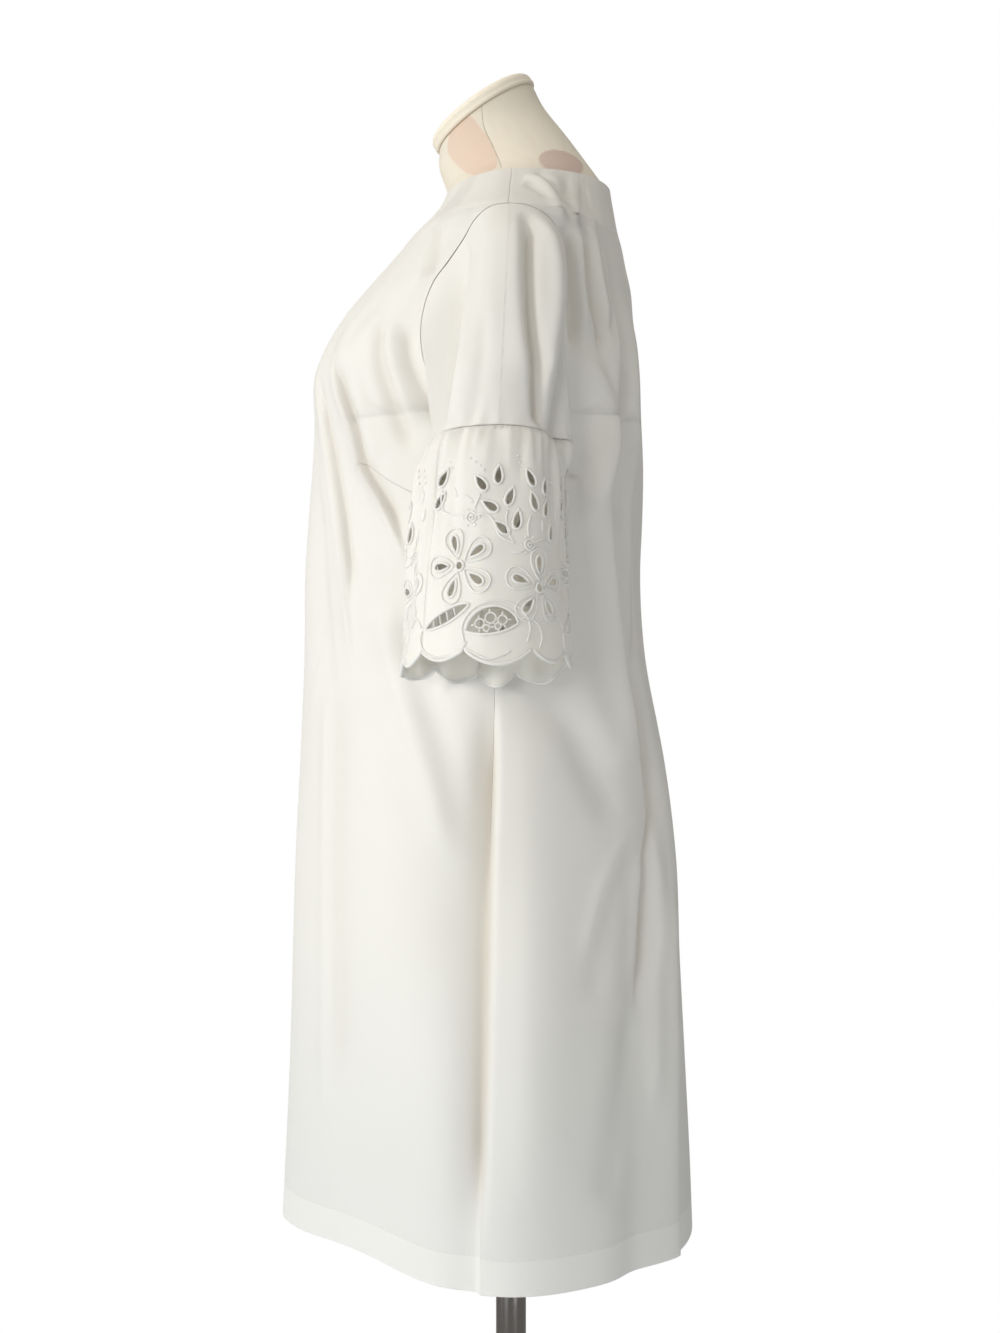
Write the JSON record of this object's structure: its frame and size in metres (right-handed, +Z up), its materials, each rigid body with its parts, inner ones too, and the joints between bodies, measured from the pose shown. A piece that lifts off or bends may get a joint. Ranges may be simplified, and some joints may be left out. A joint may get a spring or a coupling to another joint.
{
  "type": "shift dress on a limbless dress form with stand",
  "caption": "Knee-length shift dress with near-level neckline and elbow sleeves ending in scalloped cutwork flounces, on a limbless dress form with round pole and base.",
  "frame": {"origin": "centre of the stand base's underside, on the floor", "axes": "+Z up along the pole, the dress's front faces -Y and the wearer's left is +X"},
  "size_m": [0.5788, 0.3835, 1.5187],
  "materials": {
    "ivory_crepe": "matt ivory crepe with a fine grain",
    "ivory_cutwork": "matt ivory cloth with satin-stitched cutwork",
    "cream_linen": "matt cream linen cover, seamed",
    "polished_steel": "polished round pole and base"
  },
  "bodies": {
    "root": {"front_panel": "ivory_crepe", "back_panel_left": "ivory_crepe", "back_panel_right": "ivory_crepe", "sleeve_left": "ivory_crepe", "sleeve_right": "ivory_crepe", "flounce_left_outer": "ivory_cutwork", "flounce_left_inner": "ivory_cutwork", "flounce_right_outer": "ivory_cutwork", "flounce_right_inner": "ivory_cutwork", "form_torso": "cream_linen", "neck_cap": "cream_linen", "stand_pole": "polished_steel", "stand_base": "polished_steel"}
  },
  "joints": []
}
